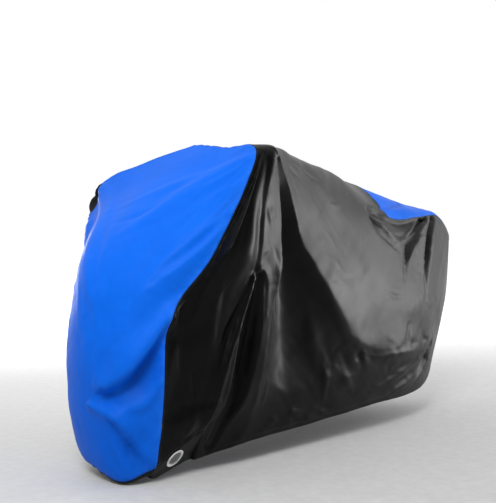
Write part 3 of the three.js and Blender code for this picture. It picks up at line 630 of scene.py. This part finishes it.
def cut_holes(cells, flats, points, eyelets):
    """Cells that lie clear of the eyelets' holes."""
    keep = np.ones(len(cells), bool)
    for at, _ in eyelets:
        near = np.linalg.norm(points[cells] - at, axis=2) < EYELET_HOLE + EYELET_BARREL / 2
        keep &= ~near.any(axis=1)
    return cells[keep], flats[keep]


def make_panel(surface, name, material, eyelets=()):
    """One panel as a closed thin sheet, thicker at its hem and beside its seams."""
    cells, flats = surface.panels[name]
    points = surface.points
    normals = surface.normals()
    rings = chains(free_edges(cells))
    hem = set(np.concatenate([surface.left[:, 0], surface.right[:, 0], surface.front[:, 0]]).tolist())
    if len(eyelets):
        cells, flats = cut_holes(cells, flats, points, eyelets)
    used, faces = np.unique(cells, return_inverse=True)
    faces = faces.reshape(-1, 4)
    vertices = points[used].copy()
    place = {index: k for k, index in enumerate(used.tolist())}
    for ring in rings:
        loop = points[ring]
        along = unit(np.roll(loop, -1, axis=0) - np.roll(loop, 1, axis=0))
        inward = unit(np.cross(normals[ring], along))
        for index, side in zip(ring, inward):
            vertices[place[index]] += side * SEAM_GAP
    edge = np.concatenate(rings)
    is_hem = np.array([index in hem for index in edge.tolist()])
    seam_run = distances(vertices, points[edge[~is_hem]])
    hem_run = np.full(len(vertices), NO_HEM)
    if is_hem.any():
        hem_run = distances(vertices, points[edge[is_hem]])
    in_lap = 1 - smoothstep(seam_run, LAP_WIDTH * LAP_FADE[0], LAP_WIDTH * LAP_FADE[1])
    in_hem = 1 - smoothstep(hem_run, HEM_WIDTH, HEM_WIDTH * HEM_FADE)
    layers = np.maximum(1 + (LAP_LAYERS - 1) * in_lap, 1 + (HEM_LAYERS - 1) * in_hem)
    piece = new_object(name + "_cloth", to_frame(vertices), faces, material)
    mesh = piece.data
    uv = mesh.uv_layers.new(name="flat")
    uv.data.foreach_set("uv", (flats * MM).astype(np.float32).ravel())
    wear = mesh.attributes.new("edge_wear", "FLOAT", "POINT")
    run = np.minimum(seam_run, hem_run)
    wear.data.foreach_set("value", np.exp(-run / WEAR_REACH).astype(np.float32))
    # Fold height, which the cloth's colour turns into painted shade in the hollows and a painted highlight
    # on the crests
    fold_shading_height = mesh.attributes.new("fold_shading_height", "FLOAT", "POINT")
    fold_shading_height.data.foreach_set("value", np.clip(surface.lift[used] / FOLD_SHADING_RISE + 0.5, 0, 1).astype(np.float32))
    group = piece.vertex_groups.new(name="layers")
    for k, count in enumerate(layers):
        group.add([k], count / HEM_LAYERS, "REPLACE")
    solid = piece.modifiers.new("Cloth", "SOLIDIFY")
    solid.thickness = CLOTH * HEM_LAYERS * MM
    solid.offset = 0
    solid.vertex_group = "layers"
    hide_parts(name)
    return piece, rings, is_hem


def stitch_shape():
    """Corners and faces of one stitch that lies along x with its middle at 0."""
    ends = [(-STITCH_LENGTH / 2, 0, -STITCH_RADIUS), (STITCH_LENGTH / 2, 0, -STITCH_RADIUS)]
    sides = STITCH_SIDES
    rings = []
    for x in (-STITCH_LENGTH / 4, STITCH_LENGTH / 4):
        for k in range(sides):
            turn = 2 * math.pi * k / sides
            rings.append((x, STITCH_RADIUS * STITCH_FLAT * math.cos(turn), STITCH_RADIUS * math.sin(turn)))
    faces = []
    for k in range(sides):
        a = len(ends) + k
        b = len(ends) + (k + 1) % sides
        faces += [(0, b, a), (a, b, b + sides, a + sides), (1, a + sides, b + sides)]
    return np.array(ends + rings), faces


def walk(line, pitch):
    """Places and directions at even steps along a line."""
    runs = np.concatenate([[0], np.cumsum(np.linalg.norm(np.diff(line, axis=0), axis=1))])
    count = max(int(runs[-1] / pitch), 1)
    at = (np.arange(count) + 0.5) * runs[-1] / count
    places = np.stack([np.interp(at, runs, line[:, k]) for k in range(3)], axis=1)
    ahead = np.stack([np.interp(at + 1, runs, line[:, k]) for k in range(3)], axis=1)
    return places, unit(ahead - places)


def make_stitches(surface, name, rings, is_hem, material):
    """A row of stitches beside every seam of a panel and along the top of its hem."""
    cells = surface.panels[name][0]
    tree = BVHTree.FromPolygons([tuple(p) for p in surface.points], [tuple(c) for c in cells.tolist()])
    normals = surface.normals()
    shape, shape_faces = stitch_shape()
    vertices, faces = [], []
    hem_of = np.split(is_hem, np.cumsum([len(ring) for ring in rings])[:-1])
    for ring, hem in zip(rings, hem_of):
        shift = np.argmax(np.roll(hem, 1) != hem)
        ring, hem = np.roll(ring, -shift), np.roll(hem, -shift)
        turns = np.nonzero(np.diff(hem.astype(int)))[0] + 1
        for run in np.split(np.arange(len(ring)), turns):
            if len(run) < 2:
                continue
            index = ring[np.append(run, (run[-1] + 1) % len(ring))]
            loop = surface.points[index]
            along = unit(np.gradient(loop, axis=0))
            inset, thick = (HEM_STITCH_INSET, HEM_LAYERS) if hem[run[0]] else (STITCH_INSET, LAP_LAYERS)
            inner = loop + unit(np.cross(normals[index], along)) * inset
            for place, ahead in zip(*walk(inner, STITCH_PITCH)):
                on_cloth, normal = tree.find_nearest(place)[:2]
                normal = np.array(normal)
                base = np.array(on_cloth) + normal * CLOTH * thick / 2
                ahead = unit(ahead - normal * (ahead @ normal))
                axes = np.stack([ahead, np.cross(normal, ahead), normal])
                start = len(vertices)
                vertices.extend(base + shape @ axes)
                faces.extend(tuple(start + k for k in face) for face in shape_faces)
    return new_object(name + "_stitches", to_frame(vertices), faces, material)


def ring_profile():
    """Radius and height round one eyelet's section: two rolled flanges and the barrel between them."""
    seat = CLOTH * HEM_LAYERS / 2
    middle = (EYELET_HOLE + EYELET_RIM) / 2
    half_width = (EYELET_RIM - EYELET_HOLE) / 2
    count, roundness = EYELET_ROLL
    upper = []
    for turn in np.linspace(0, math.pi, count):
        bulge = abs(math.sin(turn)) ** roundness
        upper.append((middle + half_width * math.cos(turn), seat + EYELET_FLANGE * bulge))
    lower = [(radius, -height) for radius, height in reversed(upper)]
    barrel = EYELET_HOLE + EYELET_BARREL
    return upper + lower + [(barrel, -seat), (barrel, seat)]


def make_eyelet(name, at, normal, material):
    """One eyelet ring, turned round the hole's axis."""
    profile = ring_profile()
    side = unit(np.cross(normal, (0.0, 0.0, 1.0)))
    up = np.cross(normal, side)
    vertices, faces = [], []
    for k in range(EYELET_SIDES):
        turn = 2 * math.pi * k / EYELET_SIDES
        spoke = side * math.cos(turn) + up * math.sin(turn)
        vertices += [at + spoke * radius + normal * height for radius, height in profile]
    count = len(profile)
    for k in range(EYELET_SIDES):
        here, there = k * count, (k + 1) % EYELET_SIDES * count
        for j in range(count):
            after = (j + 1) % count
            faces.append((here + j, here + after, there + after, there + j))
    piece = new_object(name + "_ring", to_frame(vertices), faces, material)
    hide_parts(name)
    return piece


# Looks of the cloth, the threads and the rings, with depths in metres
WEAVE = dict(scale=480, sway=0.4, tone=0.12, bump=0.12, depth=0.0002)
PATCHES = dict(scale=5.0, detail=4.0)
DIMPLES = dict(scale=38.0, detail=3.0, bump=0.22, depth=0.0016)
PAINTED_CREST_HIGHLIGHT = (0.1, 0.5)  # least and most share of the light colour painted on a crest as a highlight
EDGE_TONE = (0.0, 0.6)  # and of the rubbed colour at an edge
ROUGH_SPAN = (-0.04, 0.05)  # how far the roughness strays from its middle
EDGE_ROUGH = 0.08  # and how much rougher an edge is
PAINTED_LOW_SHADE = dict(start=-0.45, full=-1.0, share=0.3)  # heights where the painted shade towards the floor begins and is fullest, and its share
NOISE_SPAN = (0.3, 0.7)  # most of a noise lies between these values
NOISE_ROUGHNESS = 0.55
THREAD = dict(scale=900.0, detail=2.0, rough=(0.5, 0.7), bump=0.4, depth=0.0002)
RING_SOIL = dict(scale=45.0, detail=4.0)
RING_RUB = dict(scale=420.0, detail=2.0, rough=(0.22, 0.4), bump=0.1, depth=0.0003)


class Nodes:
    """A material's node tree, built by name."""

    def __init__(self, tree):
        self.tree = tree
        tree.nodes.clear()

    def add(self, kind, **settings):
        node = self.tree.nodes.new(kind)
        for key, value in settings.items():
            setattr(node, key, value)
        return node

    def link(self, source, target):
        self.tree.links.new(source, target)

    def noise(self, vector, look):
        node = self.add("ShaderNodeTexNoise")
        node.inputs["Scale"].default_value = look["scale"]
        node.inputs["Detail"].default_value = look["detail"]
        node.inputs["Roughness"].default_value = NOISE_ROUGHNESS
        self.link(vector, node.inputs["Vector"])
        return node.outputs["Fac"]

    def math(self, operation, first, second):
        node = self.add("ShaderNodeMath", operation=operation)
        for socket, value in zip(node.inputs, (first, second)):
            if isinstance(value, (int, float)):
                socket.default_value = value
            else:
                self.link(value, socket)
        return node.outputs[0]

    def ramp(self, value, start, end, low, high, form="SMOOTHSTEP"):
        """A value that goes from low at start to high at end."""
        node = self.add("ShaderNodeMapRange", interpolation_type=form)
        self.link(value, node.inputs["Value"])
        for key, number in zip(("From Min", "From Max", "To Min", "To Max"), (start, end, low, high)):
            node.inputs[key].default_value = number
        return node.outputs["Result"]

    def spread(self, noise, low, high):
        """A noise stretched so that most of it lies between low and high."""
        return self.ramp(noise, *NOISE_SPAN, low, high, form="LINEAR")

    def dot(self, vector, direction):
        node = self.add("ShaderNodeVectorMath", operation="DOT_PRODUCT")
        node.inputs[1].default_value = direction
        self.link(vector, node.inputs[0])
        return node.outputs["Value"]

    def soil(self, place):
        """Share of painted shade on the cloth, which grows towards the ground."""
        height = self.add("ShaderNodeSeparateXYZ")
        self.link(place, height.inputs[0])
        return self.ramp(height.outputs["Z"], PAINTED_LOW_SHADE["start"], PAINTED_LOW_SHADE["full"], 0.0, PAINTED_LOW_SHADE["share"])

    def mix(self, share, first, second):
        node = self.add("ShaderNodeMix", data_type="RGBA")
        self.link(share, node.inputs["Factor"])
        for socket, value in ((node.inputs[6], first), (node.inputs[7], second)):
            if isinstance(value, tuple):
                socket.default_value = (*value, 1)
            else:
                self.link(value, socket)
        return node.outputs[2]

    def bump(self, height, look, under=None):
        node = self.add("ShaderNodeBump")
        node.inputs["Strength"].default_value = look["bump"]
        node.inputs["Distance"].default_value = look["depth"]
        self.link(height, node.inputs["Height"])
        if under is not None:
            self.link(under, node.inputs["Normal"])
        return node.outputs["Normal"]

    def finish(self, colour, roughness, normal, **settings):
        shader = self.add("ShaderNodeBsdfPrincipled")
        for key, value in settings.items():
            shader.inputs[key.replace("_", " ")].default_value = value
        self.link(colour, shader.inputs["Base Color"])
        self.link(roughness, shader.inputs["Roughness"])
        self.link(normal, shader.inputs["Normal"])
        output = self.add("ShaderNodeOutputMaterial")
        self.link(shader.outputs[0], output.inputs["Surface"])
        return shader


def new_material(name):
    """A material, its nodes and the place on the object that its patterns are laid by."""
    material = bpy.data.materials.new(name)
    material.use_nodes = True
    n = Nodes(material.node_tree)
    return material, n, n.add("ShaderNodeTexCoord").outputs["Object"]


def cloth_material(name, painted_shade_tone, shade, colour, light, worn, roughness, **settings):
    """Coated plain-weave polyester: threads, small puckers, uneven colour and paler, rubbed edges, with
    painted shade in the fold hollows and towards the floor, and a painted highlight on the fold crests.
    """
    material, n, place = new_material(name)
    flat = n.add("ShaderNodeUVMap", uv_map="flat").outputs["UV"]
    threads = []
    for direction in ("X", "Y"):
        wave = n.add("ShaderNodeTexWave", wave_type="BANDS", bands_direction=direction)
        wave.inputs["Scale"].default_value = WEAVE["scale"]
        wave.inputs["Distortion"].default_value = WEAVE["sway"]
        n.link(flat, wave.inputs["Vector"])
        threads.append(wave.outputs["Fac"])
    weave = n.math("MULTIPLY", *threads)
    soft = n.noise(place, PATCHES)
    small = n.noise(place, DIMPLES)
    edge = n.add("ShaderNodeAttribute", attribute_name="edge_wear").outputs["Fac"]
    fold_shading_height = n.add("ShaderNodeAttribute", attribute_name="fold_shading_height").outputs["Fac"]
    tone = n.mix(n.spread(soft, 0, 1), shade, colour)
    # Painted shade: darker in the fold hollows
    tone = n.mix(n.math("SUBTRACT", 0.5, fold_shading_height), tone, painted_shade_tone)
    # Painted highlight: paler on the fold crests
    tone = n.mix(n.math("MULTIPLY", fold_shading_height, n.spread(small, *PAINTED_CREST_HIGHLIGHT)), tone, light)
    tone = n.mix(n.math("MULTIPLY", edge, n.spread(small, *EDGE_TONE)), tone, worn)
    tone = n.mix(n.math("MULTIPLY", weave, WEAVE["tone"]), tone, light)
    # Painted shade: darker towards the floor
    tone = n.mix(n.soil(place), tone, painted_shade_tone)
    smoothest, roughest = (roughness + stray for stray in ROUGH_SPAN)
    rough = n.math("ADD", n.spread(soft, smoothest, roughest), n.math("MULTIPLY", edge, EDGE_ROUGH))
    normal = n.bump(small, DIMPLES)
    normal = n.bump(weave, WEAVE, normal)
    n.finish(tone, rough, normal, **settings)
    return material


def thread_material(name, colour, light):
    """Twisted sewing thread."""
    material, n, place = new_material(name)
    fine = n.noise(place, THREAD)
    tone = n.mix(n.spread(fine, 0, 1), colour, light)
    n.finish(tone, n.spread(fine, *THREAD["rough"]), n.bump(fine, THREAD))
    return material


def ring_material():
    """Pale moulded plastic with a little soil and fine rubbing."""
    material, n, place = new_material("pale_ring")
    soil = n.noise(place, RING_SOIL)
    rub = n.noise(place, RING_RUB)
    tone = n.mix(n.spread(soil, 0, 1), (0.62, 0.62, 0.61), (0.86, 0.86, 0.85))
    n.finish(tone, n.spread(rub, *RING_RUB["rough"]), n.bump(rub, RING_RUB), Specular_IOR_Level=0.5)
    return material


def softbox(name, at, aim, size, power, spread=180):
    """A soft rectangular light: place, point that it faces, size in metres, watts and spread in degrees."""
    light = bpy.data.lights.new(name, "AREA")
    light.shape = "RECTANGLE"
    light.size, light.size_y = size
    light.energy = power
    light.spread = math.radians(spread)
    lamp = bpy.data.objects.new(name, light)
    lamp.location = at
    lamp.rotation_euler = (Vector(aim) - Vector(at)).to_track_quat("-Z", "Y").to_euler()
    lamp.visible_camera = False
    bpy.context.scene.collection.objects.link(lamp)


# The floor and the surround, in metres. Both are brighter beyond the cover.
FLOOR_HALF = 40.0
FLOOR_GRAIN = dict(scale=30.0, detail=4.0, rough=(0.75, 0.85), bump=0.05, depth=0.001)
FLOOR_GLOW = dict(start=1.0, end=5.0, low=0.0, high=0.75)
FLOOR_BEYOND = (0.745, 0.666, 0)
SURROUND_GLOW = dict(start=-0.35, end=0.55, low=0.06, high=1.0)
SURROUND_BEYOND = (0.6, 0.53, 0.6)


def build_floor():
    """A pale floor that fades into the white surround."""
    floor_z = -RIDGE_POINT[2] * MM
    mesh = bpy.data.meshes.new("floor")
    corners = [(x * FLOOR_HALF, y * FLOOR_HALF, floor_z) for x, y in ((-1, -1), (1, -1), (1, 1), (-1, 1))]
    mesh.from_pydata(corners, [], [(0, 1, 2, 3)])
    floor = bpy.data.objects.new("floor", mesh)
    bpy.context.scene.collection.objects.link(floor)
    material, n, place = new_material("floor")
    grain = n.noise(place, FLOOR_GRAIN)
    tone = n.mix(n.spread(grain, 0, 1), (0.52, 0.52, 0.52), (0.58, 0.58, 0.58))
    rough = n.spread(grain, *FLOOR_GRAIN["rough"])
    shader = n.finish(tone, rough, n.bump(grain, FLOOR_GRAIN), Emission_Color=(1, 1, 1, 1))
    n.link(n.ramp(n.dot(place, FLOOR_BEYOND), **FLOOR_GLOW), shader.inputs["Emission Strength"])
    mesh.materials.append(material)


def build_studio():
    """A pale floor, a pale surround and soft lights."""
    build_floor()
    build_surround()
    softbox("front_light", (-3.8, -2.2, 2.7), (-0.75, -0.1, -0.5), (1.7, 1.7), 22, 60)
    softbox("tail_light", (4.4, -2.3, 0.4), (0.3, -0.3, -0.4), (2.0, 2.8), 108)
    softbox("low_light", (1.5, -1.35, -0.75), (-0.5, -0.38, -0.1), (1.0, 0.5), 1.2, 40)
    softbox("far_light", (1.7, 4.4, -0.3), (0.0, 0.3, -0.45), (2.6, 1.1), 90)


def build_surround():
    """A surround that looks white, and lights the cover more from beyond than from the viewer's side."""
    world = bpy.data.worlds.new("studio")
    world.use_nodes = True
    n = Nodes(world.node_tree)
    direction = n.add("ShaderNodeTexCoord").outputs["Generated"]
    glow = n.ramp(n.dot(direction, SURROUND_BEYOND), **SURROUND_GLOW)
    seen = n.add("ShaderNodeLightPath").outputs["Is Camera Ray"]
    background = n.add("ShaderNodeBackground")
    background.inputs["Color"].default_value = (1, 1, 1, 1)
    n.link(n.math("MAXIMUM", glow, seen), background.inputs["Strength"])
    output = n.add("ShaderNodeOutputWorld")
    n.link(background.outputs[0], output.inputs["Surface"])
    bpy.context.scene.world = world


def build_camera():
    """The photograph's viewing angle: 48 degrees round from the nose and a little above the middle."""
    at = (-3.1037, -2.5389, -0.2215)
    turn, tilt = math.radians(-48.237), math.radians(-1.647)
    camera = bpy.data.cameras.new("camera")
    camera.sensor_width = 36
    camera.lens = 69.69
    viewer = bpy.data.objects.new("camera", camera)
    viewer.location = at
    viewer.rotation_euler = (math.pi / 2 + tilt, 0, turn)
    bpy.context.scene.collection.objects.link(viewer)
    bpy.context.scene.camera = viewer
    bpy.context.scene.view_settings.view_transform = "Standard"


def build_cover():
    """Every panel with its stitches, and both eyelet rings."""
    eyelets = eyelet_places()
    surface = shape_cover(eyelets)
    blue = cloth_material("blue_cloth", painted_shade_tone=(0.001, 0.05, 0.32), shade=(0.003, 0.125, 0.74),
                          colour=(0.003, 0.145, 0.84), light=(0.008, 0.165, 0.88), worn=(0.03, 0.2, 0.92),
                          roughness=0.46, Specular_IOR_Level=0.06)
    black = cloth_material("black_cloth", painted_shade_tone=(0.0008, 0.0008, 0.0009), shade=(0.0016, 0.0017, 0.0019),
                           colour=(0.0026, 0.0027, 0.003), light=(0.005, 0.0052, 0.0055),
                           worn=(0.014, 0.014, 0.015), roughness=0.34, Specular_IOR_Level=0.11)
    blue_thread = thread_material("blue_thread", (0.006, 0.1, 0.6), (0.02, 0.2, 0.8))
    black_thread = thread_material("black_thread", (0.008, 0.008, 0.008), (0.03, 0.03, 0.03))
    pale = ring_material()
    rings_made = [make_eyelet("eyelet_" + side, at, normal, pale)
                  for side, (at, normal) in zip(("left", "right"), eyelets)]
    looks = {"blue_cloth": (blue, blue_thread), "black_cloth": (black, black_thread)}
    # Cut size of each panel before it was sewn: width, length and area in metres
    cuts = {
        "front_panel": dict(slot="blue_cloth", flat=(0.98, 1.30), area=0.86),
        "side_panel_left": dict(slot="black_cloth", flat=(2.25, 1.40), area=2.18),
        "side_panel_right": dict(slot="black_cloth", flat=(2.25, 1.40), area=2.12),
        "rear_panel": dict(slot="blue_cloth", flat=(0.50, 0.86), area=0.29),
        "front_hem_strip": dict(slot="black_cloth", flat=(0.95, 0.12), area=0.062),
    }
    for name, cut in cuts.items():
        cloth, thread = looks[cut["slot"]]
        holes = eyelets if name == "front_hem_strip" else ()
        panel, rings, is_hem = make_panel(surface, name, cloth, holes)
        stitches = make_stitches(surface, name, rings, is_hem, thread)


build_cover()
build_studio()
build_camera()
